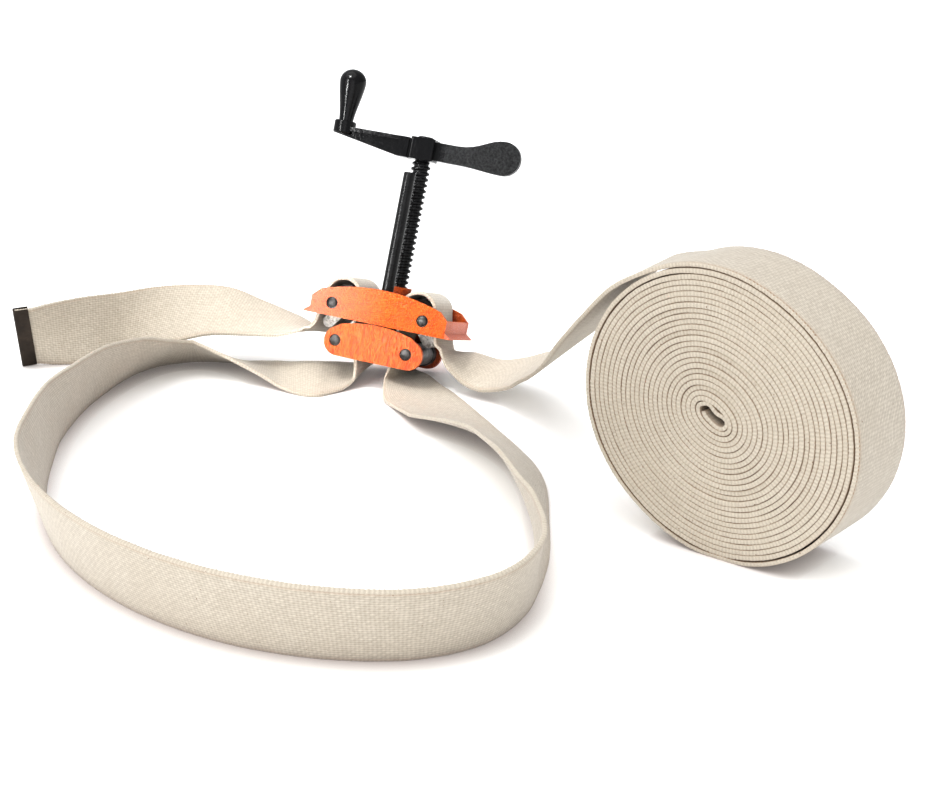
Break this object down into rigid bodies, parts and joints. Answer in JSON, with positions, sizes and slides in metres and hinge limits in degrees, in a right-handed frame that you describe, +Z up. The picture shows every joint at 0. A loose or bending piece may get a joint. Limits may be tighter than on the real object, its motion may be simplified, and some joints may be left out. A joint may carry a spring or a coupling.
{
  "type": "band clamp",
  "caption": "Canvas band clamp: a screw pulls two cam-locked strands of a long band tight round the work, and the spare band is wound into a roll.",
  "frame": {"origin": "on the floor under the middle of the bounding box of the clamp as it lies", "axes": "+Z up, +X along the clamp head from the metal band end towards the roll, +Y from the loop of band towards the head"},
  "size_m": [0.5558, 0.541, 0.2156],
  "materials": {
    "orange_enamel": "glossy orange enamel over a cast surface",
    "canvas": "heavy cream cotton canvas webbing, matte",
    "black_enamel": "glossy black enamel over cast iron",
    "black_steel": "black oxide steel",
    "dark_steel": "dark grey steel, satin",
    "zinc_iron": "zinc-grey cast iron",
    "ferrule_steel": "dark brown-black folded sheet steel"
  },
  "bodies": {
    "base": {"lower_head": "orange_enamel", "lower_pin_left": "dark_steel", "lower_pin_right": "dark_steel", "guide_rod": "black_steel", "band_tail": "canvas", "band_tail_rise": "canvas", "band_riser_left": "canvas", "band_loop": "canvas", "band_riser_right": "canvas", "band_strip": "canvas", "band_roll": "canvas", "tail_ferrule": "ferrule_steel"},
    "upper_body": {"upper_head": "orange_enamel", "upper_pin_left": "dark_steel", "upper_pin_right": "dark_steel", "band_wrap_left": "canvas", "band_wrap_right": "canvas"},
    "screw": {"lead_screw": "black_steel", "screw_collar": "dark_steel", "crank_handle": "black_enamel"},
    "cam_left": {"cam_left": "zinc_iron"},
    "cam_right": {"cam_right": "zinc_iron"},
    "roller_left": {"roller_left": "dark_steel"},
    "roller_right": {"roller_right": "dark_steel"}
  },
  "joints": [
    {"name": "screw_turn", "type": "hinge", "parent": "base", "child": "screw", "pos_m": [0.00257, 0.20888, 0.04482], "axis": [0.1926, 0.2191, 0.9565], "range_deg": [-6370, 0]},
    {"name": "upper_slide", "type": "slide", "parent": "base", "child": "upper_body", "axis": [0.1926, 0.2191, 0.9565], "range_m": [0, 0.075], "deforming": ["band_riser_left", "band_riser_right", "band_tail_rise", "band_strip"]},
    {"name": "cam_left_swing", "type": "hinge", "parent": "upper_body", "child": "cam_left", "pos_m": [-0.03264, 0.20564, 0.05265], "axis": [0.225, 0.9389, -0.2604], "range_deg": [-10, 0]},
    {"name": "cam_right_swing", "type": "hinge", "parent": "upper_body", "child": "cam_right", "pos_m": [0.03193, 0.18771, 0.04375], "axis": [0.225, 0.9389, -0.2604], "range_deg": [0, 10]},
    {"name": "roller_left_spin", "type": "hinge", "parent": "base", "child": "roller_left", "pos_m": [-0.0306, 0.1981, 0.0272], "axis": [0.225, 0.9389, -0.2604], "continuous": true},
    {"name": "roller_right_spin", "type": "hinge", "parent": "base", "child": "roller_right", "pos_m": [0.02002, 0.18403, 0.02023], "axis": [0.225, 0.9389, -0.2604], "continuous": true}
  ],
  "couplings": [
    {"joint": "upper_slide", "follows": "screw_turn", "m_per_rad": -0.00067375}
  ]
}
